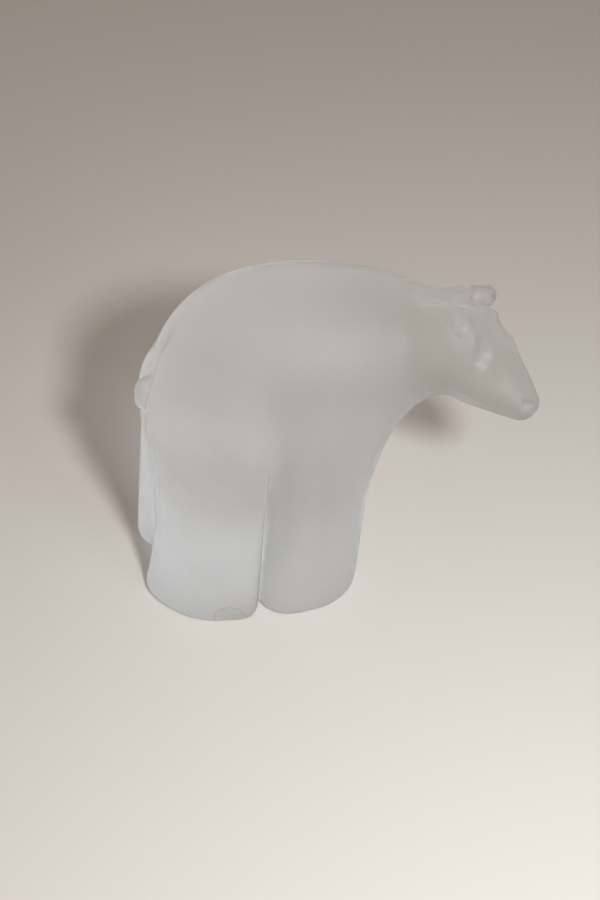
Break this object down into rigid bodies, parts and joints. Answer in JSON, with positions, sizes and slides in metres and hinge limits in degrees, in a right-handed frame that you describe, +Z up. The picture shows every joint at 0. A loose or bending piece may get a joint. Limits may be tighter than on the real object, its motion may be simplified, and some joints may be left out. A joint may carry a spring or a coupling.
{
  "type": "glass bear figurine",
  "caption": "Standing polar bear figurine in frosted solid glass, head lowered and turned to its right, on pillar legs parted by grooves.",
  "frame": {"origin": "on the ground plane under the soles, at the middle of the figure's box", "axes": "+X the way the bear walks, +Y its left side, +Z up"},
  "size_m": [0.0934, 0.053, 0.083],
  "materials": {
    "frosted_glass": "acid-etched satin all over, translucent"
  },
  "bodies": {
    "root": {"body": "frosted_glass", "ear_left": "frosted_glass", "ear_right": "frosted_glass", "tail": "frosted_glass"}
  },
  "joints": []
}
